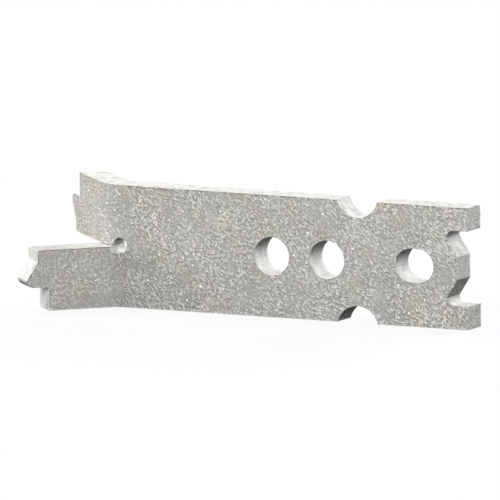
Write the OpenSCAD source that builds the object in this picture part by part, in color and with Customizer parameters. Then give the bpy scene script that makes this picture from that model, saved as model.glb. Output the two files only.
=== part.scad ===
// Split-foot lifting anchor for precast concrete, made from one length of flat bar.
// The bar stands on its long edge: +X points to the head, +Y to the side that the
// upper leg bends towards, +Z up. The origin is the middle of the anchor's overall
// length, on the bar's mid-plane and its bottom edge. All sizes are in millimetres.

/* [Bar] */
// Width of the flat bar
bar_w = 65; // [60:1:80]
// Thickness of the flat bar
bar_t = 16; // [10:1:20]
// Flat length from the prong ends to the outer ends of the legs
cut_l = 250; // [240:5:400]

/* [Head] */
// Width of each prong
prong_w = 12.5; // [10:0.5:14]
// Distance that the tongue tip stands back from the prong ends
tongue_back = 6.2; // [4:0.1:8]
// Width of the tongue tip
tongue_w = 12.4; // [10:0.2:16]
// Depth of each notch behind the tongue tip
notch_deep = 6.2; // [4:0.1:8]
// Radius of the round corner in each notch
notch_r = 4; // [2:0.5:5]

/* [Eye and holes] */
// Distance from the prong ends to the middle of the eye
eye_from_end = 31.4; // [29:0.1:34]
// Length of the eye along the bar
eye_l = 22.5; // [20:0.5:25]
// Height of the eye across the bar
eye_h = 18; // [16:0.5:19.5]
// Diameter of the two round holes
hole_d = 20.5; // [16:0.5:24]
// Distance from the prong ends to the first round hole
hole_from_end = 83; // [80:0.5:90]
// Spacing of the two round holes
hole_pitch = 32.5; // [30:0.5:40]

/* [Side notches] */
// Distance from the prong ends to the middle of the side notches
side_from_end = 65; // [63:0.5:68]
// Diameter of the side notches
side_d = 24.5; // [20:0.5:26]
// Depth of the side notches below the bar's edge
side_deep = 9; // [7:0.5:10]

/* [Split foot] */
// Diameter of the relief hole at the inner end of the split
split_hole_d = 8.5; // [8:0.5:10]
// Distance that the relief hole's middle lies beyond the start of the bends
split_hole_past = 2.5; // [2:0.5:3]
// Width of the split between the two legs
split_gap = 0.5; // [0.4:0.1:1]
// Distance from the prong ends to the start of the bends
bend_from_end = 202.5; // [190:0.5:205]
// Inside radius of the bends
bend_r = 8; // [6:0.5:12]
// Angle that each leg is bent out of the bar
bend_angle = 45; // [30:1:60]

/* [Hidden] */
$fn = 96;
zinc = [0.69, 0.68, 0.66];
mid_z = bar_w / 2;
// Middle and outside radius of a bend, and its flat length
mid_r = bend_r + bar_t / 2;
outer_r = bend_r + bar_t;
bend_l = mid_r * bend_angle * PI / 180;
// The notch at the head and the tooth at the foot have the same outline
tooth_deep = tongue_back + notch_deep;
flank_top_z = mid_z - tongue_w / 2;
flank_foot_z = prong_w + notch_r;
// Straight length of a leg beyond its bend
leg_l = cut_l - bend_from_end - bend_l;
// Overall length of the bent anchor
foot_reach = mid_r * sin(bend_angle) + (leg_l + tooth_deep) * cos(bend_angle) + bar_t / 2 * sin(bend_angle);
total_l = bend_from_end + foot_reach;
// Small overlap, so that each round meets the flat beside it along a clean line
overlap = 0.001;
// Length of a cutter that passes through the bar and the start of both legs
cutter_l = 4 * bar_t;

// Stands a flat outline, drawn with x along the bar and y across it, up in the bar's plane
module stand(depth) {
    rotate([90, 0, 0])
        linear_extrude(height = depth, center = true)
            children();
}

// Outline of one tooth, with its pointed end towards -X and its outer corner rounded
module tooth_outline() {
    polygon([
        [0, prong_w],
        [notch_r - tooth_deep, prong_w],
        [notch_r - tooth_deep, flank_foot_z],
        [-tooth_deep, flank_foot_z],
        [-tongue_back, flank_top_z],
        [0, flank_top_z]
    ]);
    intersection() {
        translate([notch_r - tooth_deep, flank_foot_z])
            circle(r = notch_r);
        translate([-tooth_deep, prong_w])
            square(notch_r);
    }
}

// The tooth's outline with the step beside it, up to the middle of the bar
module end_outline() {
    tooth_outline();
    translate([-tongue_back, flank_top_z])
        square([tongue_back, mid_z - flank_top_z]);
}

// The straight bar from the prong ends to the start of the bends
module straight_bar() {
    stand(bar_t)
        translate([-bend_from_end, 0])
            square([bend_from_end, bar_w]);
}

// Seen from above, with the bend's centre at the origin: the sector that a bend turns
// through, out to the corner of two straight lines at radius r
module bend_sector(r) {
    polygon([
        [0, 0],
        [0, -r],
        [-r * tan(bend_angle / 2), -r],
        [-r * sin(bend_angle), -r * cos(bend_angle)]
    ]);
}

// The bent bar seen from above, with the bend's centre at the origin. It is drawn with
// sharp corners, then its inner corner is filled and its outer corner is rounded.
module bend_plan() {
    far = leg_l + tooth_deep + bar_t;
    difference() {
        union() {
            polygon([
                [bar_t, -bend_r],
                [-bend_r * tan(bend_angle / 2), -bend_r],
                [-bend_r * sin(bend_angle) - far * cos(bend_angle), far * sin(bend_angle) - bend_r * cos(bend_angle)],
                [-outer_r * sin(bend_angle) - far * cos(bend_angle), far * sin(bend_angle) - outer_r * cos(bend_angle)],
                [-outer_r * tan(bend_angle / 2), -outer_r],
                [bar_t, -outer_r]
            ]);
            difference() {
                bend_sector(mid_r);
                circle(r = bend_r + overlap);
            }
        }
        difference() {
            bend_sector(2 * outer_r);
            circle(r = outer_r + overlap);
        }
    }
}

// What is cut away at the outer end of a leg: all that lies beyond the tooth and its step
module end_waste() {
    difference() {
        translate([-tooth_deep - 2 * bar_t, -bar_t])
            square([tooth_deep + 2 * bar_t, mid_z + bar_t]);
        end_outline();
    }
}

// A leg that takes the bottom half of the bar and bends towards +Y
module bent_leg() {
    translate([-bend_from_end, mid_r, 0])
        difference() {
            linear_extrude(height = mid_z - split_gap / 2)
                bend_plan();
            rotate([0, 0, -bend_angle])
                translate([-leg_l, -mid_r, 0])
                    stand(2 * bar_t)
                        end_waste();
        }
}

// The lower leg bends towards -Y and the upper leg, turned end over end, towards +Y
module legs() {
    mirror([0, 1, 0])
        bent_leg();
    translate([0, 0, bar_w])
        mirror([0, 0, 1])
            bent_leg();
}

// A round hole through the bar at its mid-height
module round_hole(from_end, d) {
    translate([-from_end, 0, mid_z])
        rotate([90, 0, 0])
            cylinder(h = cutter_l, d = d, center = true);
}

// The oblong eye, a slot with half-round ends
module eye() {
    stand(cutter_l)
        translate([-eye_from_end, mid_z])
            union() {
                square([eye_l - eye_h, eye_h], center = true);
                for (end = [-1, 1])
                    translate([end * (eye_l - eye_h) / 2, 0])
                        circle(d = eye_h);
            }
}

// The head's end: the tongue set back, with a notch on each side of it
module head_cut() {
    for (flip = [0, 1])
        translate([0, 0, flip * bar_w])
            mirror([0, 0, flip])
                stand(cutter_l)
                    end_outline();
}

// The half-round notches in the long edges
module side_notches() {
    for (z = [side_deep - side_d / 2, bar_w - side_deep + side_d / 2])
        translate([-side_from_end, 0, z])
            rotate([90, 0, 0])
                cylinder(h = cutter_l, d = side_d, center = true);
}

module anchor_bar() {
    color(zinc)
        translate([total_l / 2, 0, 0])
            difference() {
                union() {
                    straight_bar();
                    legs();
                }
                head_cut();
                eye();
                round_hole(hole_from_end, hole_d);
                round_hole(hole_from_end + hole_pitch, hole_d);
                side_notches();
                round_hole(bend_from_end + split_hole_past, split_hole_d);
            }
}

anchor_bar();
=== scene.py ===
"""Looks of a split-foot plate lifting anchor: a hot-dip galvanised flat bar with a forked head and two bent legs."""

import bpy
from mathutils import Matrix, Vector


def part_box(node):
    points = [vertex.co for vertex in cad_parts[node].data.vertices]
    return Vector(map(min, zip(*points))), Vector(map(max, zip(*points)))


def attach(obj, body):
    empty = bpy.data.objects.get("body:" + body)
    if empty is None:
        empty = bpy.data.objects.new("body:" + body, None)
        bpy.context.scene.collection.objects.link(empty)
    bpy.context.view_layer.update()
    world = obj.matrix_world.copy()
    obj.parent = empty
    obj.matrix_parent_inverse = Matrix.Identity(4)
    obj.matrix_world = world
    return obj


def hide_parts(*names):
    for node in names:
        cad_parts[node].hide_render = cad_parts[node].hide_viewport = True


bl_info = {
    "name": "Split-Foot Lifting Anchor",
    "version": (1, 0, 0),
    "blender": (4, 5, 0),
    "location": "View3D > Sidebar > Anchor",
    "description": "Builds a galvanised plate lifting anchor and the white stage it stands on",
    "category": "Object",
}

import math

import bpy
import numpy as np
from bpy.props import FloatProperty, FloatVectorProperty, PointerProperty
from bpy.types import Operator, Panel, PropertyGroup
from mathutils import Matrix, Vector, noise
from mathutils.geometry import delaunay_2d_cdt
from mathutils.kdtree import KDTree

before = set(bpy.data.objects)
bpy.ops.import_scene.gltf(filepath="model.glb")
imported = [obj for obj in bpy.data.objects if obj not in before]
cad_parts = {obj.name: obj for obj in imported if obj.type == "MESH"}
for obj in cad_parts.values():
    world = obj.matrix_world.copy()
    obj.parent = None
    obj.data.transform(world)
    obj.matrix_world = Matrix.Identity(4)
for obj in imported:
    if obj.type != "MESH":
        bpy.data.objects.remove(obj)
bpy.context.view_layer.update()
BAR_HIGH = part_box("anchor_bar")[1]

MM = 0.001

# Mesh fineness in mm. The relief of the zinc has waves 2.6 to 4.2 mm long, so a vertex every 0.7 mm draws them. The
# finer grain is bump in the material, because a mesh that drew it would have more triangles than the export keeps.
FACE_PITCH = 0.70
EDGE_PITCH = 0.70
# Grid points stay this share of a pitch away from the outlines. Where an outline turns sharply, a point that moves
# into the metal goes no farther than its inset divided by the second number.
RIM_CLEARANCE = 0.6
LEAST_MITRE = 0.5
# Steps down a wall, over a rounded edge, and at least in an arc.
WALL_STEPS = 11
ROUND_STEPS = 2
ARC_STEPS = 6
# A sharper turn of an outline is a corner, which gets a round of this many points.
SHARP_TURN = math.radians(20)
CORNER_POINTS = 5
# Share of the edges' rounds that the lips of the split keep, so that the gap stays narrow.
LIP_SOFTNESS = 0.4
# What the triangulation takes as one point, in mm, and its number for keeping what lies inside the outline.
WELD_DISTANCE = 1e-7
KEEP_INSIDE = 1

# Layers of smooth noise in the zinc: weight, size in mm, and a shift that keeps the layers apart.
SWELL_PATCHES = (0.7, 9.0, 3.1)
SWELL_DRIFT = (0.5, 22.0, 8.6)
FACE_DRIFT = (0.25, 9.0, 5.9)
WALL_DRIFT = (0.25, 5.0, 11.7)
TONE_DRIFT = (0.06, 28.0, 14.2)
# Least and most strength of the grain, and how much weaker it is on the bent legs.
SWELL_RANGE = (0.3, 1.8)
LEG_CALM = 0.3
# How steeply the noise turns into relief, and the share of the relief's depth that the walls keep.
RELIEF_GAIN = 0.9
WALL_RELIEF = 0.3
# How much the height of a crest, and the strength of the grain, add to the zinc's brightness.
CREST_TONE = 0.3
SWELL_TONE = 0.08
# Patterns that the material of the faces draws, in waves on one grain of 2.1 by 1.3 mm: the finest ripples are
# 1.6 by 1.0 mm, the blooms 21 by 13 mm, and the flecks 1.3 by 0.8 mm.
RIPPLE_WAVES = 1.3
BLOOM_WAVES = 0.1
FLECK_WAVES = 1.6
# Patterns that the material of the walls draws.
BLOTCH_SIZE = 5.0 * MM
SPECKLE_SIZE = 1.25 * MM
# Bump distances of the ripples and of the speckle, matched to the photo's grain.
RIPPLE_BUMP = 1.3 * MM
SPECKLE_BUMP = 0.6 * MM
# Painted shade: the walls that face down are painted darker between these two slopes, where 1 faces straight down.
# The rolled long edges are a little duller than the cut walls. A point this near to one, in mm, lies on it.
UNDERSIDE_SHADE_FROM, UNDERSIDE_SHADE_TO = 0.1, 0.6
EDGE_DULLNESS = 0.18
EDGE_REACH = 0.1
# Sockets of a Mix node that mixes colours.
MIX_FACTOR, MIX_A, MIX_B, MIX_RESULT = 0, 6, 7, 2

# Camera of the photograph: angles round and above the part, roll, width of the picture and what its middle looks at.
VIEW_AZIMUTH = math.radians(26.627)
VIEW_ELEVATION = math.radians(8.598)
VIEW_ROLL = math.radians(0.417)
VIEW_WIDTH = 0.26339
VIEW_AIM = (-0.004597, -0.002039, 0.034069)
# How far off the camera stands, and how far it sees.
VIEW_DISTANCE = 1.5
VIEW_REACH = 20.0

# Lamps: name, its power's setting, place in metres and colour. Each is a square panel this wide, in metres.
LAMP_WIDTH = 0.5
MOST_WATTS = 1000.0
LAMPS = (
    ("back_panel", "back_lamp", (0.276, 1.030, 0.461), "FFFFFF"),
    ("front_panel", "front_lamp", (0.297, -0.971, 0.570), "FFFFFF"),
    ("right_panel", "right_lamp", (1.099, -0.194, 0.308), "FFFFFF"),
    ("left_panel", "left_lamp", (-0.786, 0.210, 0.843), "FFFEFA"),
    ("low_panel", "low_lamp", (-1.078, -0.392, 0.110), "FFFEFA"),
)
FLOOR_RADIUS = 2.0
FLOOR_SIDES = 96
# Share of the floor's white that the lamps give near the object, and that its shadow takes away. It fades out
# between the two distances from the middle.
SHADOW_SHARE = 0.11
SHADOW_FADE = (0.18, 0.5)
# How bright the lamps make a white floor near the object, where 1 is the white of the picture.
FLOOR_LIGHT = 1.46


def linear(hex_code):
    """An sRGB hex colour as linear red, green and blue."""
    parts = [int(hex_code[i : i + 2], 16) / 255 for i in (0, 2, 4)]
    return tuple(p / 12.92 if p <= 0.04045 else ((p + 0.055) / 1.055) ** 2.4 for p in parts)


def size(name, about, mm):
    """A length that a user may change, given in mm."""
    return FloatProperty(name=name, description=about, default=mm * MM, unit="LENGTH", precision=5)


def colour(name, about, hex_code):
    """A colour that a user may change, given as sRGB hex."""
    return FloatVectorProperty(
        name=name, description=about, default=linear(hex_code), subtype="COLOR", size=3, min=0, max=1
    )


def amount(name, about, value, high=1.0):
    """A plain number that a user may change."""
    return FloatProperty(name=name, description=about, default=value, min=0, max=high)


class AnchorSizes(PropertyGroup):
    """Sizes of the bar, as in the solid model. A place is the flat length from the ends of the prongs."""

    bar_width: size("Bar width", "Height of the bar as it stands on its long edge", 65)
    bar_thickness: size("Bar thickness", "Thickness of the flat bar", 16)
    leg_end: size("Leg end", "Place of the outer ends of the legs", 250)
    tooth_root: size("Tooth root", "Place of the middle of the round at the tooth's foot", 258.4)
    tooth_hollow: size("Tooth hollow", "Place of the hollow between the two tooth tips", 256.2)
    prong_width: size("Prong width", "Width of each prong of the head", 12.5)
    tongue_back: size("Tongue set-back", "How far the tongue stays behind the prongs", 6.2)
    tongue_width: size("Tongue width", "Width of the tongue's tip", 12.4)
    notch_floor: size("Notch floor", "Place of the floor of the notches beside the tongue", 12.4)
    notch_round: size("Notch round", "Radius in the corner under each prong", 4)
    eye_place: size("Eye place", "Place of the middle of the lifting eye", 31.4)
    eye_length: size("Eye length", "Length of the eye along the bar", 22.5)
    eye_height: size("Eye height", "Height of the eye across the bar", 18)
    hole_width: size("Hole width", "Width of the two round holes", 20.5)
    hole_place: size("Hole place", "Place of the first round hole", 83)
    hole_pitch: size("Hole pitch", "Distance between the two round holes", 32.5)
    bite_place: size("Edge notch place", "Place of the round notches in the long edges", 65)
    bite_width: size("Edge notch width", "Width of the circle that cuts the edge notches", 24.5)
    bite_depth: size("Edge notch depth", "Depth of the edge notches", 9)
    relief_place: size("Relief hole place", "Place of the hole at the root of the split", 205)
    relief_width: size("Relief hole width", "Width of the hole at the root of the split", 8.5)
    split_gap: size("Split gap", "Gap of the split between the legs, narrowed by the zinc", 0.3)
    bend_place: size("Bend place", "Place at which the legs begin to bend", 202.5)
    bend_radius: size("Bend radius", "Radius of the bend at the middle of the thickness", 16)
    bend_angle: FloatProperty(
        name="Bend angle", description="How far each leg bends away", default=math.radians(45), subtype="ANGLE"
    )


class ZincFinish(PropertyGroup):
    """Finish of the hot-dip galvanised steel."""

    edge_round: size("Edge round", "Radius that the zinc gives to the edges of the faces", 0.1)
    corner_round: size("Corner round", "Radius of the upright corners of the outline", 0.2)
    relief_depth: size("Relief depth", "Depth of the grainy relief of the rolled faces", 0.3)
    grain_long: size("Grain length", "Size of a grain of the zinc, along the grain", 2.1)
    grain_wide: size("Grain width", "Size of a grain of the zinc, across the grain", 1.3)
    dull_colour: colour("Dull zinc", "Grey of the matt zinc in the hollows", "AAA8A5")
    bright_colour: colour("Bright zinc", "Grey of the zinc on the crests of the grain", "ECEAE7")
    warm_colour: colour("Warm bloom", "Tint of faint warm patches of the zinc", "FFF8EA")
    cool_colour: colour("Cool bloom", "Tint of faint greenish patches of the zinc", "F9FFF3")
    fleck_colour: colour("Bare flecks", "Colour of bare zinc crystals", "E6E5E1")
    cut_colour: colour("Cut zinc", "Grey of the smoother zinc on the cut walls", "DEDDDA")
    # Painted shade: this grey darkens the walls that face down.
    underside_shade_colour: colour("Underside shade", "Grey painted on the walls that face down, as their shade", "686964")


class StageSettings(PropertyGroup):
    """White stage, camera and lamps."""

    backdrop_colour: colour("Backdrop", "Colour of the background and floor", "FFFFFF")
    bounce_colour: colour("Floor bounce", "Grey that the floor throws back to the part", "666663")
    ambient: amount("Ambient", "Strength of the light from all round", 0.01)
    back_lamp: amount("Back lamp", "Power of the panel behind, in watts", 18.8, MOST_WATTS)
    front_lamp: amount("Front lamp", "Power of the panel in front, in watts", 11.7, MOST_WATTS)
    right_lamp: amount("Right lamp", "Power of the panel low at the right, in watts", 1.6, MOST_WATTS)
    left_lamp: amount("Left lamp", "Power of the panel high at the left, in watts", 10.3, MOST_WATTS)
    low_lamp: amount("Low lamp", "Power of the panel low at the left, in watts", 8.2, MOST_WATTS)


class BarPlan:
    """The bar as it lies flat before its legs are bent, in mm, and the map that bends them."""

    def __init__(self, sizes):
        for name in AnchorSizes.__annotations__:
            setattr(self, name, getattr(sizes, name) / MM)
        self.bend_angle = sizes.bend_angle
        self.head_x = BAR_HIGH.x / MM
        self.middle_z = self.bar_width / 2
        self.half = self.bar_thickness / 2

    def x_of(self, place):
        """X of a place on the flat bar."""
        return self.head_x - place

    def bend(self, flat):
        """Points (X, Z, depth) of the flat bar as points (X, Y, Z) of the bent one. The upper leg bends back."""
        x, z, depth = flat.T
        side = np.where(z > self.middle_z, 1.0, -1.0)
        rho = self.bend_radius - side * depth
        over = self.x_of(self.bend_place) - x
        turn = np.clip(over / self.bend_radius, 0, self.bend_angle)
        past = np.maximum(over - self.bend_radius * self.bend_angle, 0)
        bent_x = self.x_of(self.bend_place) - rho * np.sin(turn) - past * math.cos(self.bend_angle)
        bent_y = side * (self.bend_radius - rho * np.cos(turn) + past * math.sin(self.bend_angle))
        return np.stack([np.where(over > 0, bent_x, x), bent_y, z], 1)

    def flat_x(self, bent_x, z, depth):
        """X on the flat bar of what lies at bent_x on the bent one, at that height and depth."""
        side = np.where(z > self.middle_z, 1.0, -1.0)
        rho = self.bend_radius - side * depth
        bend_x = self.x_of(self.bend_place)
        reach = np.maximum(bend_x - bent_x, 0)
        turn = np.arcsin(np.clip(reach / rho, 0, math.sin(self.bend_angle)))
        past = np.maximum(reach - rho * math.sin(self.bend_angle), 0) / math.cos(self.bend_angle)
        return np.where(reach > 0, bend_x - self.bend_radius * turn - past, bent_x)


def edge(start, end):
    """Points from start up to, but without, end."""
    steps = max(1, round(math.dist(start, end) / EDGE_PITCH))
    return [Vector(start).lerp(Vector(end), i / steps)[:] for i in range(steps)]


def edges(corners):
    """Points along straight edges from corner to corner, without the last one."""
    return [point for start, end in zip(corners, corners[1:]) for point in edge(start, end)]


def arc(middle, radius, begin, finish):
    """Points on a circle from the angle begin up to, but without, finish, both in degrees."""
    steps = max(ARC_STEPS, round(abs(math.radians(finish - begin)) * radius / EDGE_PITCH))
    turns = [math.radians(begin + (finish - begin) * i / steps) for i in range(steps)]
    return [(middle[0] + radius * math.cos(t), middle[1] + radius * math.sin(t)) for t in turns]


def rim_points(plan):
    """The outline from the lower lip of the split round the foot, head and top to the upper lip, with the metal
    on its left as seen from the front. The upper half mirrors the lower one."""
    middle, tongue = plan.middle_z, plan.tongue_width / 2
    head, tip, floor_x = plan.head_x, plan.x_of(plan.tongue_back), plan.x_of(plan.notch_floor)
    round_z, jaw_x = plan.prong_width + plan.notch_round, floor_x + plan.notch_round
    root, leg, hollow = plan.x_of(plan.tooth_root), plan.x_of(plan.leg_end), plan.x_of(plan.tooth_hollow)
    bite_r, bite_x = plan.bite_width / 2, plan.x_of(plan.bite_place)
    bite_z = plan.bite_depth - bite_r
    bite_reach = math.sqrt(bite_r**2 - bite_z**2)
    bite_turn = math.degrees(math.asin(-bite_z / bite_r))
    lip, tooth_x = middle - plan.split_gap / 2, root - plan.notch_round
    lower = edges([(hollow, lip), (hollow, middle - tongue), (tooth_x, round_z)])
    lower += arc((root, round_z), plan.notch_round, 180, 270)
    lower += edges([(root, plan.prong_width), (leg, plan.prong_width), (leg, 0), (bite_x - bite_reach, 0)])
    lower += arc((bite_x, bite_z), bite_r, 180 - bite_turn, bite_turn)
    lower += edges([(bite_x + bite_reach, 0), (head, 0), (head, plan.prong_width), (jaw_x, plan.prong_width)])
    lower += arc((jaw_x, round_z), plan.notch_round, 270, 180)
    lower += edges([(floor_x, round_z), (tip, middle - tongue), (tip, middle)])
    return lower + [(tip, middle)] + [(x, plan.bar_width - z) for x, z in reversed(lower)]


def root_hole_points(plan):
    """The hole at the root of the split, from its upper lip round to its lower one, as drilled in the bent bar."""
    radius, lip = plan.relief_width / 2, plan.split_gap / 2
    turn = 180 - math.degrees(math.asin(lip / radius))
    points = arc((plan.x_of(plan.relief_place), plan.middle_z), radius, turn, -turn)
    return points + [(points[0][0], plan.middle_z - lip)]


def eye_points(plan):
    """The lifting eye: a slot with round ends."""
    radius, x, z = plan.eye_height / 2, plan.x_of(plan.eye_place), plan.middle_z
    reach = plan.eye_length / 2 - radius
    points = arc((x + reach, z), radius, 90, -90) + edge((x + reach, z - radius), (x - reach, z - radius))
    return points + arc((x - reach, z), radius, 270, 90) + edge((x - reach, z + radius), (x + reach, z + radius))


def rounded(before, corner, after, radius):
    """The points of a small round that takes the place of a corner."""
    a, b = before - corner, after - corner
    a, b = a / np.linalg.norm(a), b / np.linalg.norm(b)
    half_opening = math.acos(np.clip(a @ b, -1, 1)) / 2
    centre = corner + (a + b) / np.linalg.norm(a + b) * radius / math.sin(half_opening)
    cut = radius / math.tan(half_opening)
    first, last = corner + a * cut - centre, corner + b * cut - centre
    spokes = [first + (last - first) * i / (CORNER_POINTS - 1) for i in range(CORNER_POINTS)]
    return [centre + spoke / np.linalg.norm(spoke) * radius for spoke in spokes]


class Outline:
    """One closed loop of the bar's outline, with the metal on its left. The outer one holds the split and the hole
    at its root. That was drilled straight through the bent legs, so its points on the flat bar move with the depth.
    """

    def __init__(self, plan, corner_round, rim, drilled=()):
        self.plan, self.corner_round = plan, corner_round
        self.rim, self.drilled = np.array(rim), np.array(drilled)
        steps = round((self.drilled[0, 0] - self.rim[-1, 0]) / EDGE_PITCH) if len(drilled) else 1
        self.lip_steps = np.arange(1, steps)[:, None] / steps
        loop = self.sharp(-plan.half)
        ahead = np.roll(loop, -1, 0) - loop
        heading = np.arctan2(ahead[:, 1], ahead[:, 0])
        turn = (heading - np.roll(heading, 1) + math.pi) % (2 * math.pi) - math.pi
        self.corners = set(np.flatnonzero(abs(turn) > SHARP_TURN))
        # The lips of the split keep a smaller round.
        front = self.at(-plan.half)
        self.softness = np.ones(len(front))
        if len(drilled):
            in_gap = abs(front[:, 1] - plan.middle_z) < plan.split_gap
            left = front[:, 0] < plan.x_of(plan.relief_place)
            self.softness[in_gap & left] = LIP_SOFTNESS

    def sharp(self, depth):
        """The loop at that depth, with sharp corners."""
        if not len(self.drilled):
            return self.rim
        hole = self.drilled.copy()
        hole[:, 0] = self.plan.flat_x(hole[:, 0], hole[:, 1], depth)
        upper = self.rim[-1] + (hole[0] - self.rim[-1]) * self.lip_steps
        lower = hole[-1] + (self.rim[0] - hole[-1]) * self.lip_steps
        return np.concatenate([self.rim, upper, hole, lower])

    def at(self, depth):
        """The loop at that depth, with its corners rounded."""
        loop, points = self.sharp(depth), []
        for i, here in enumerate(loop):
            if i in self.corners:
                points += rounded(loop[i - 1], here, loop[(i + 1) % len(loop)], self.corner_round)
            else:
                points.append(here)
        return np.array(points)

    def ring(self, depth, sink, inset):
        """The loop at a depth, moved into the metal by inset and back to its face by sink times its softness."""
        loop = self.at(depth)
        ahead = np.roll(loop, -1, 0) - loop
        ahead /= np.linalg.norm(ahead, axis=1)[:, None]
        left = np.stack([-ahead[:, 1], ahead[:, 0]], 1)
        across = left + np.roll(left, 1, 0)
        across /= np.linalg.norm(across, axis=1)[:, None]
        across /= np.maximum((across * left).sum(1), LEAST_MITRE)[:, None]
        loop = loop + across * (inset * self.softness)[:, None]
        return np.column_stack([loop, depth - sink * (1 - self.softness)])


def crossings(loops, z):
    """Where a level line crosses the loops, from left to right."""
    cuts = []
    for loop in loops:
        ends = np.roll(loop, -1, 0)
        crossed = (loop[:, 1] > z) != (ends[:, 1] > z)
        a, b = loop[crossed], ends[crossed]
        cuts += list(a[:, 0] + (b[:, 0] - a[:, 0]) * (z - a[:, 1]) / (b[:, 1] - a[:, 1]))
    return sorted(cuts)


def face_grid(loops):
    """Points of a triangular grid that lie inside the loops, and not too near to them."""
    every = np.concatenate(loops)
    tree = KDTree(len(every))
    for i, (x, z) in enumerate(every):
        tree.insert((x, z, 0), i)
    tree.balance()
    inside = []
    row_step = FACE_PITCH * math.sqrt(3) / 2
    for row, z in enumerate(np.arange(row_step / 2, every[:, 1].max(), row_step)):
        shift = row % 2 / 2
        cuts = crossings(loops, z)
        for begin, finish in zip(cuts[::2], cuts[1::2]):
            for step in range(math.ceil(begin / FACE_PITCH - shift), math.ceil(finish / FACE_PITCH - shift)):
                x = (step + shift) * FACE_PITCH
                if tree.find((x, z, 0))[2] > FACE_PITCH * RIM_CLEARANCE:
                    inside.append((x, z))
    return np.array(inside)


def face_triangles(loops, grid):
    """Triangles of one face. Their numbers count the points of the loops, and then those of the grid."""
    flat = np.concatenate([*loops, grid])
    rims, start = [], 0
    for loop in loops:
        rims += [(start + i, start + (i + 1) % len(loop)) for i in range(len(loop))]
        start += len(loop)
    points = [Vector(p) for p in flat]
    made, _, faces, origins, _, _ = delaunay_2d_cdt(points, rims, [], KEEP_INSIDE, WELD_DISTANCE)
    if len(made) != len(flat):
        raise RuntimeError("the outline of a face crosses itself")
    triangles = np.array([o[0] for o in origins])[np.array(faces)]
    a, b, c = (flat[triangles[:, i]] for i in range(3))
    # A triangle whose middle lies in a hole goes.
    middle = (a + b + c) / 3
    inside = np.zeros(len(middle), bool)
    for loop in loops:
        for p, q in zip(loop, np.roll(loop, -1, 0)):
            band = np.flatnonzero((middle[:, 1] > min(p[1], q[1])) & (middle[:, 1] <= max(p[1], q[1])))
            if len(band):
                cut = p[0] + (q[0] - p[0]) * (middle[band, 1] - p[1]) / (q[1] - p[1])
                inside[band[middle[band, 0] < cut]] ^= True
    clockwise = np.cross(b - a, c - a) < 0
    triangles[clockwise] = triangles[clockwise][:, ::-1]
    return triangles[inside]


def bar_skin(plan, corner_round, edge_round):
    """The whole skin of the bar: its points on the flat bar (X, Z, depth), its faces, which of them are cut walls,
    and how much of the rolled faces' relief each point takes."""
    outlines = [Outline(plan, corner_round, rim_points(plan), root_hole_points(plan))]
    for place in (plan.hole_place, plan.hole_place + plan.hole_pitch):
        hole = arc((plan.x_of(place), plan.middle_z), plan.hole_width / 2, 180, -180)
        outlines.append(Outline(plan, corner_round, hole))
    outlines.append(Outline(plan, corner_round, eye_points(plan)))

    # Rings of points round every loop, from the front face over its rounded edge, down the wall and to the back
    # face. Each has its depth, how far it lies inside the outline, its share of the relief, and its sink.
    turns = [math.radians(90) * i / ROUND_STEPS for i in range(ROUND_STEPS + 1)]
    over = [(edge_round * (1 - math.sin(t)), edge_round * (1 - math.cos(t)), 1 - t / turns[-1]) for t in turns]
    wall = plan.half - edge_round
    rings = [(sink - plan.half, inset, share, sink) for inset, sink, share in over]
    rings += [(wall * (2 * i / WALL_STEPS - 1), 0, 0, 0) for i in range(1, WALL_STEPS)]
    rings += [(plan.half - sink, inset, share, -sink) for inset, sink, share in reversed(over)]
    rows = [[outline.ring(depth, sink, inset) for outline in outlines] for depth, inset, _, sink in rings]
    columns = sum(len(loop) for loop in rows[0])
    points, shares = [np.concatenate(row) for row in rows], [np.full(columns, ring[2]) for ring in rings]
    faces, walls = [], []
    for ring in range(len(rings) - 1):
        start = ring * columns
        on_wall = ROUND_STEPS <= ring < len(rings) - 1 - ROUND_STEPS
        for loop in rows[0]:
            count = len(loop)
            for i in range(count):
                here, there = start + i, start + (i + 1) % count
                faces.append((here, here + columns, there + columns, there))
            start += count
            walls += [on_wall] * count
    base = len(rings) * columns
    for ring, side in ((0, -1), (len(rings) - 1, 1)):
        loops = [loop[:, :2] for loop in rows[ring]]
        grid = face_grid(loops)
        triangles = face_triangles(loops, grid)
        triangles = np.where(triangles < columns, triangles + ring * columns, triangles - columns + base)
        faces += [tuple(t[::-side]) for t in triangles.tolist()]
        walls += [False] * len(triangles)
        points.append(np.column_stack([grid, np.full(len(grid), side * plan.half)]))
        shares.append(np.ones(len(grid)))
        base += len(grid)
    return np.concatenate(points), faces, walls, np.concatenate(shares)


def waves(points, scale, shift=0.0):
    """Smooth noise from -1 to 1 at each point, whose waves are about twice as long as scale."""
    return np.array([noise.noise(Vector(p)) for p in points / scale + shift])


def grain_place(flat, finish):
    """Points of the flat bar counted in grains: along the grain, which falls to the right, across it, and through
    the bar."""
    x, z, depth = flat.T
    long, wide = finish.grain_long / MM, finish.grain_wide / MM
    return np.stack([(x - z) / math.sqrt(2) / long, (x + z) / math.sqrt(2) / wide, depth / wide], 1)


def layer(points, weight, scale, shift):
    """One layer of smooth noise at each point."""
    return weight * waves(points, scale, shift)


def grain_swell(flat, plan):
    """How strong the grain is at each point of the flat bar: it comes in patches, and is weaker on the bent legs."""
    patches = 1.0 + layer(flat, *SWELL_PATCHES) + layer(flat, *SWELL_DRIFT)
    on_legs = np.clip((plan.x_of(plan.bend_place) - flat[:, 0]) / plan.bend_radius, 0, 1)
    return np.clip(patches, *SWELL_RANGE) * (1 - LEG_CALM * on_legs)


def zinc_relief(flat, share, swell, finish):
    """How deep the zinc lies under the solid's face at each point, from 0 on the crests to 1."""
    grain = waves(grain_place(flat, finish), 1.0) * swell
    height = share * (grain + layer(flat, *FACE_DRIFT)) + (1 - share) * layer(flat, *WALL_DRIFT)
    return np.clip(0.5 - RELIEF_GAIN * height, 0, 1)


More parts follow.
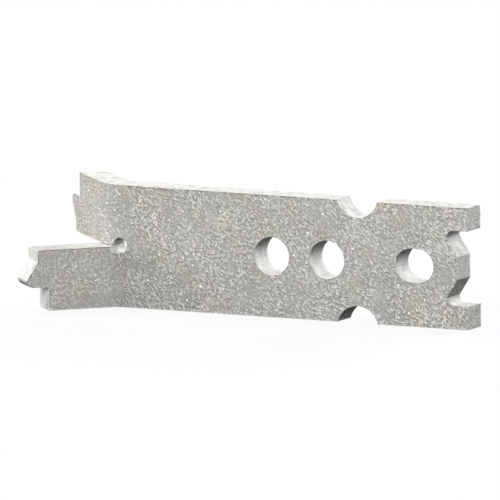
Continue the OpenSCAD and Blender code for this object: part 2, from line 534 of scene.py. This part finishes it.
def zinc_tone(flat, relief, swell):
    """How bright the zinc is at each point. Crests are brighter than hollows, and it drifts over the bar."""
    return CREST_TONE * (1 - relief) + SWELL_TONE * (swell - 1) + layer(flat, *TONE_DRIFT)


def skin_normals(points, faces):
    """The normal of the skin at each point."""
    normals = np.zeros_like(points)
    for corners in (3, 4):
        picked = np.array([f for f in faces if len(f) == corners])
        first = points[picked[:, 2]] - points[picked[:, 0]]
        last = points[picked[:, -1]] - points[picked[:, 1]]
        # The diagonals of a face give its normal, and so do two edges of a triangle.
        normal = np.cross(first, last)
        for i in range(corners):
            np.add.at(normals, picked[:, i], normal)
    return normals / np.linalg.norm(normals, axis=1)[:, None]


def wall_dullness(flat, normals, plan):
    """How dark the walls are at each point: painted shade on the walls that face down, and a little duller zinc on
    the rolled long edges than on the cut walls."""
    # Painted shade: the more a wall faces down, the more of the darker grey it gets.
    underside_shade = np.clip((-normals[:, 2] - UNDERSIDE_SHADE_FROM) / (UNDERSIDE_SHADE_TO - UNDERSIDE_SHADE_FROM), 0, 1)
    from_edge = np.minimum(flat[:, 1], plan.bar_width - flat[:, 1])
    return np.maximum(underside_shade, EDGE_DULLNESS * (from_edge < EDGE_REACH))


def keep(mesh, name, values):
    """Keeps a number or a vector for each point of the mesh, under the name by which the materials read it."""
    kind, field = ("FLOAT_VECTOR", "vector") if values.ndim == 2 else ("FLOAT", "value")
    mesh.attributes.new(name, kind, "POINT").data.foreach_set(field, values.ravel())


def add_node(tree, kind, settings=None, links=None):
    """Adds one node. settings gives its properties, or values of its inputs by name or number; links gives what
    feeds an input."""
    node = tree.nodes.new(kind)
    for key, value in (settings or {}).items():
        if isinstance(key, str) and hasattr(node, key):
            setattr(node, key, value)
        else:
            node.inputs[key].default_value = value
    for key, source in (links or {}).items():
        tree.links.new(source, node.inputs[key])
    return node


def kept(tree, name, output="Fac"):
    """What the mesh keeps under that name, as a node's output."""
    return add_node(tree, "ShaderNodeAttribute", {"attribute_name": name}).outputs[output]


def new_material(name):
    """An empty material with its tree."""
    material = bpy.data.materials.new(name)
    material.use_nodes = True
    material.node_tree.nodes.clear()
    return material, material.node_tree


def galvanised_face(finish):
    """Hot-dip galvanised steel, rolled face: matt grey zinc, grained by the rough steel under it, with crests that
    are brighter and smoother than the hollows, faint warm and greenish blooms, and small bare flecks."""
    material, tree = new_material("hot_dip_galvanised_steel_rolled_face")
    place = {"Vector": kept(tree, "grain_place", "Vector")}
    # The finest ripples wind round the grains, and they are stronger where the grain is.
    settings = {"Scale": RIPPLE_WAVES, "Detail": 1.0, "Distortion": 0.3}
    ripple = add_node(tree, "ShaderNodeTexNoise", settings, place).outputs["Fac"]
    ripple = add_node(tree, "ShaderNodeMath", {"operation": "SUBTRACT", 1: 0.5}, {0: ripple}).outputs[0]
    links = {0: ripple, 1: kept(tree, "grain_swell")}
    ripple = add_node(tree, "ShaderNodeMath", {"operation": "MULTIPLY"}, links).outputs[0]
    # Crests are brighter than hollows.
    links = {0: kept(tree, "zinc_tone"), 1: ripple}
    tone = add_node(tree, "ShaderNodeMath", {"operation": "ADD"}, links).outputs[0]
    settings = {"From Min": 0.08, "From Max": 0.45}
    tone = add_node(tree, "ShaderNodeMapRange", settings, {"Value": tone}).outputs[0]
    settings = {"data_type": "RGBA", MIX_A: (*finish.dull_colour, 1), MIX_B: (*finish.bright_colour, 1)}
    grey = add_node(tree, "ShaderNodeMix", settings, {MIX_FACTOR: tone}).outputs[MIX_RESULT]
    # Faint blooms tint it.
    for tint, seed in ((finish.warm_colour, 3.0), (finish.cool_colour, 17.0)):
        settings = {"noise_dimensions": "4D", "W": seed, "Scale": BLOOM_WAVES, "Detail": 2.0}
        cloud = add_node(tree, "ShaderNodeTexNoise", settings, place).outputs["Fac"]
        settings = {"From Min": 0.5, "From Max": 0.7, "To Max": 0.6}
        bloom = add_node(tree, "ShaderNodeMapRange", settings, {"Value": cloud}).outputs[0]
        settings = {"data_type": "RGBA", "blend_type": "MULTIPLY", MIX_B: (*tint, 1)}
        grey = add_node(tree, "ShaderNodeMix", settings, {MIX_FACTOR: bloom, MIX_A: grey}).outputs[MIX_RESULT]
    # Where a crystal lies bare, the zinc is shinier metal.
    settings = {"noise_dimensions": "4D", "W": 5.0, "Scale": FLECK_WAVES, "Detail": 1.0}
    spots = add_node(tree, "ShaderNodeTexNoise", settings, place).outputs["Fac"]
    settings = {"From Min": 0.62, "From Max": 0.74}
    fleck = add_node(tree, "ShaderNodeMapRange", settings, {"Value": spots}).outputs[0]
    settings = {"data_type": "RGBA", MIX_B: (*finish.fleck_colour, 1)}
    skin = add_node(tree, "ShaderNodeMix", settings, {MIX_FACTOR: fleck, MIX_A: grey}).outputs[MIX_RESULT]
    settings = {"To Min": 0.72, "To Max": 0.42}
    gloss = add_node(tree, "ShaderNodeMapRange", settings, {"Value": fleck}).outputs[0]
    settings = {"Strength": 1.0, "Distance": RIPPLE_BUMP}
    bump = add_node(tree, "ShaderNodeBump", settings, {"Height": ripple}).outputs[0]
    links = {"Base Color": skin, "Metallic": fleck, "Roughness": gloss, "Normal": bump}
    shader = add_node(tree, "ShaderNodeBsdfPrincipled", {"Specular IOR Level": 0.2}, links)
    add_node(tree, "ShaderNodeOutputMaterial", links={0: shader.outputs[0]})
    return material


def galvanised_wall(finish):
    """Hot-dip galvanised steel, cut wall: the same zinc over a smoother cut, so it is even and matt, with soft
    blotches about 5 mm wide and a fine speckle. The walls that face down get a painted shade, darker in patches."""
    material, tree = new_material("hot_dip_galvanised_steel_cut_wall")
    place = {"Vector": add_node(tree, "ShaderNodeTexCoord").outputs["Object"]}
    blotch = add_node(tree, "ShaderNodeTexNoise", {"Scale": 1 / BLOTCH_SIZE, "Detail": 2.0}, place).outputs["Fac"]
    speckle = add_node(tree, "ShaderNodeTexNoise", {"Scale": 1 / SPECKLE_SIZE, "Detail": 1.0}, place).outputs["Fac"]
    settings = {"From Min": 0.2, "From Max": 0.6, "To Min": 0.25}
    tone = add_node(tree, "ShaderNodeMapRange", settings, {"Value": blotch}).outputs[0]
    settings = {"data_type": "RGBA", MIX_A: (*finish.dull_colour, 1), MIX_B: (*finish.cut_colour, 1)}
    grey = add_node(tree, "ShaderNodeMix", settings, {MIX_FACTOR: tone}).outputs[MIX_RESULT]
    # Painted shade on the walls that face down, broken into patches.
    both = add_node(tree, "ShaderNodeMath", {"operation": "ADD"}, {0: blotch, 1: speckle}).outputs[0]
    settings = {"From Min": 0.8, "From Max": 1.2, "To Min": 1.0, "To Max": 0.7}
    patches = add_node(tree, "ShaderNodeMapRange", settings, {"Value": both}).outputs[0]
    # dull holds the painted shade of the walls that face down, and the duller rolled edges.
    links = {0: kept(tree, "wall_dullness"), 1: patches}
    dull = add_node(tree, "ShaderNodeMath", {"operation": "MULTIPLY"}, links).outputs[0]
    settings = {"data_type": "RGBA", MIX_B: (*finish.underside_shade_colour, 1)}
    grey = add_node(tree, "ShaderNodeMix", settings, {MIX_FACTOR: dull, MIX_A: grey}).outputs[MIX_RESULT]
    settings = {"Strength": 1.0, "Distance": SPECKLE_BUMP}
    bump = add_node(tree, "ShaderNodeBump", settings, {"Height": speckle}).outputs[0]
    settings = {"Roughness": 0.8, "Specular IOR Level": 0.1}
    shader = add_node(tree, "ShaderNodeBsdfPrincipled", settings, {"Base Color": grey, "Normal": bump})
    add_node(tree, "ShaderNodeOutputMaterial", links={0: shader.outputs[0]})
    return material


class ANCHOR_OT_bar(Operator):
    """Build the anchor's bar, with its rounded edges, its zinc relief and its finish"""

    bl_idname = "anchor.bar"
    bl_label = "Anchor bar"

    def execute(self, context):
        finish = context.scene.anchor_finish
        plan = BarPlan(context.scene.anchor_sizes)
        flat, faces, walls, share = bar_skin(plan, finish.corner_round / MM, finish.edge_round / MM)
        swell = grain_swell(flat, plan)
        relief = zinc_relief(flat, share, swell, finish)
        depth = relief * (WALL_RELIEF + (1 - WALL_RELIEF) * share) * finish.relief_depth / MM
        bent = plan.bend(flat)
        normals = skin_normals(bent, faces)
        points = (bent - normals * depth[:, None]) * MM
        mesh = bpy.data.meshes.new("lifting_anchor_bar")
        mesh.from_pydata(points.tolist(), [], faces)
        mesh.polygons.foreach_set("material_index", np.array(walls, np.int32))
        mesh.polygons.foreach_set("use_smooth", np.ones(len(faces), bool))
        keep(mesh, "grain_place", grain_place(flat, finish))
        keep(mesh, "zinc_tone", zinc_tone(flat, relief, swell))
        keep(mesh, "grain_swell", swell)
        keep(mesh, "wall_dullness", wall_dullness(flat, normals, plan))
        mesh.materials.append(galvanised_face(finish))
        mesh.materials.append(galvanised_wall(finish))
        mesh.validate()
        bar = bpy.data.objects.new("lifting_anchor_bar", mesh)
        context.scene.collection.objects.link(bar)
        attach(bar, "root")
        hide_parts("anchor_bar")
        return {"FINISHED"}


def seen_directly(tree):
    """1 for a ray from the camera, off a shiny surface or through glass, and else 0."""
    light_path = add_node(tree, "ShaderNodeLightPath")
    seen = light_path.outputs["Is Camera Ray"]
    for kind in ("Is Glossy Ray", "Is Transmission Ray"):
        links = {0: seen, 1: light_path.outputs[kind]}
        seen = add_node(tree, "ShaderNodeMath", {"operation": "MAXIMUM"}, links).outputs[0]
    return seen


class ANCHOR_OT_stage(Operator):
    """Set up the white floor, the light, the lamps and the camera"""

    bl_idname = "anchor.stage"
    bl_label = "White stage"

    def execute(self, context):
        scene, stage = context.scene, context.scene.anchor_stage
        self.light_the_world(scene, stage)
        self.lay_the_floor(scene, stage)
        for name, power, place, tint in LAMPS:
            panel = bpy.data.lights.new(name, "AREA")
            panel.energy, panel.size, panel.color = getattr(stage, power), LAMP_WIDTH, linear(tint)
            lamp = bpy.data.objects.new(name, panel)
            lamp.location = place
            lamp.rotation_euler = (-Vector(place)).to_track_quat("-Z", "Y").to_euler()
            lamp.visible_camera = False
            scene.collection.objects.link(lamp)
        self.place_the_camera(scene)
        scene.view_settings.view_transform = "Standard"
        return {"FINISHED"}

    def light_the_world(self, scene, stage):
        """The backdrop's colour all round, which lights the part only faintly."""
        world = bpy.data.worlds.new("white_surround")
        world.use_nodes = True
        tree = world.node_tree
        tree.nodes.clear()
        settings = {"Color": (*stage.backdrop_colour, 1), "Strength": 1.0}
        backdrop = add_node(tree, "ShaderNodeBackground", settings)
        settings = {"Color": (1, 1, 1, 1), "Strength": stage.ambient}
        ambient = add_node(tree, "ShaderNodeBackground", settings)
        links = {0: seen_directly(tree), 1: ambient.outputs[0], 2: backdrop.outputs[0]}
        shown = add_node(tree, "ShaderNodeMixShader", links=links)
        add_node(tree, "ShaderNodeOutputWorld", links={0: shown.outputs[0]})
        scene.world = world

    def lay_the_floor(self, scene, stage):
        """A round floor that shows as the backdrop does, but for the part's faint shadow near the middle. To the
        part it is a grey floor."""
        mesh = bpy.data.meshes.new("floor")
        turns = np.arange(FLOOR_SIDES) * math.tau / FLOOR_SIDES
        rim = [(FLOOR_RADIUS * math.cos(t), FLOOR_RADIUS * math.sin(t), 0) for t in turns]
        mesh.from_pydata(rim, [], [tuple(range(len(rim)))])
        material, tree = new_material("white_painted_floor")
        white = (*stage.backdrop_colour, 1)
        plain = add_node(tree, "ShaderNodeEmission", {"Color": white, "Strength": 1.0})
        glow = add_node(tree, "ShaderNodeEmission", {"Color": white, "Strength": 1 - SHADOW_SHARE})
        shade = [channel * SHADOW_SHARE / FLOOR_LIGHT for channel in stage.backdrop_colour]
        paint = add_node(tree, "ShaderNodeBsdfDiffuse", {"Color": (*shade, 1)})
        lit = add_node(tree, "ShaderNodeAddShader", links={0: glow.outputs[0], 1: paint.outputs[0]})
        here = add_node(tree, "ShaderNodeTexCoord").outputs["Object"]
        reach = add_node(tree, "ShaderNodeVectorMath", {"operation": "LENGTH"}, {0: here}).outputs["Value"]
        settings = {"From Min": SHADOW_FADE[0], "From Max": SHADOW_FADE[1]}
        far = add_node(tree, "ShaderNodeMapRange", settings, {"Value": reach}).outputs[0]
        look = add_node(tree, "ShaderNodeMixShader", links={0: far, 1: lit.outputs[0], 2: plain.outputs[0]})
        bounce = add_node(tree, "ShaderNodeBsdfDiffuse", {"Color": (*stage.bounce_colour, 1)})
        links = {0: seen_directly(tree), 1: bounce.outputs[0], 2: look.outputs[0]}
        shown = add_node(tree, "ShaderNodeMixShader", links=links)
        add_node(tree, "ShaderNodeOutputMaterial", links={0: shown.outputs[0]})
        mesh.materials.append(material)
        floor = bpy.data.objects.new("floor", mesh)
        scene.collection.objects.link(floor)

    def place_the_camera(self, scene):
        """A camera far to the front right, a little above, with parallel rays, as the photograph's lines are."""
        right = Vector((math.cos(VIEW_AZIMUTH), math.sin(VIEW_AZIMUTH), 0))
        level = Vector((math.sin(VIEW_AZIMUTH), -math.cos(VIEW_AZIMUTH), 0))
        back = level * math.cos(VIEW_ELEVATION) + Vector((0, 0, math.sin(VIEW_ELEVATION)))
        turn = Matrix.Rotation(-VIEW_ROLL, 3, back)
        right, up = turn @ right, turn @ back.cross(right)
        lens = bpy.data.cameras.new("photo_camera")
        lens.type = "ORTHO"
        lens.ortho_scale = VIEW_WIDTH
        lens.clip_end = VIEW_REACH
        camera = bpy.data.objects.new("photo_camera", lens)
        axes = Matrix((right, up, back)).transposed().to_4x4()
        camera.matrix_world = Matrix.Translation(Vector(VIEW_AIM) + back * VIEW_DISTANCE) @ axes
        scene.collection.objects.link(camera)
        scene.camera = camera


class ANCHOR_PT_sidebar(Panel):
    """Lists the anchor's pieces and settings in the sidebar"""

    bl_label = "Lifting anchor"
    bl_idname = "ANCHOR_PT_sidebar"
    bl_space_type = "VIEW_3D"
    bl_region_type = "UI"
    bl_category = "Anchor"

    def draw(self, context):
        pieces = ((ANCHOR_OT_bar, ("anchor_sizes", "anchor_finish")), (ANCHOR_OT_stage, ("anchor_stage",)))
        for operator, groups in pieces:
            self.layout.operator(operator.bl_idname)
            for group in groups:
                column = self.layout.column(align=True)
                for name in getattr(context.scene, group).__annotations__:
                    column.prop(getattr(context.scene, group), name)


GROUPS = {"anchor_sizes": AnchorSizes, "anchor_finish": ZincFinish, "anchor_stage": StageSettings}
CLASSES = (AnchorSizes, ZincFinish, StageSettings, ANCHOR_OT_bar, ANCHOR_OT_stage, ANCHOR_PT_sidebar)


def register():
    for cls in CLASSES:
        bpy.utils.register_class(cls)
    for name, group in GROUPS.items():
        setattr(bpy.types.Scene, name, PointerProperty(type=group))


def unregister():
    for name in GROUPS:
        delattr(bpy.types.Scene, name)
    for cls in reversed(CLASSES):
        bpy.utils.unregister_class(cls)


def main():
    """Builds the part and its stage."""
    register()
    bpy.ops.anchor.bar()
    bpy.ops.anchor.stage()


if __name__ == "__main__":
    main()
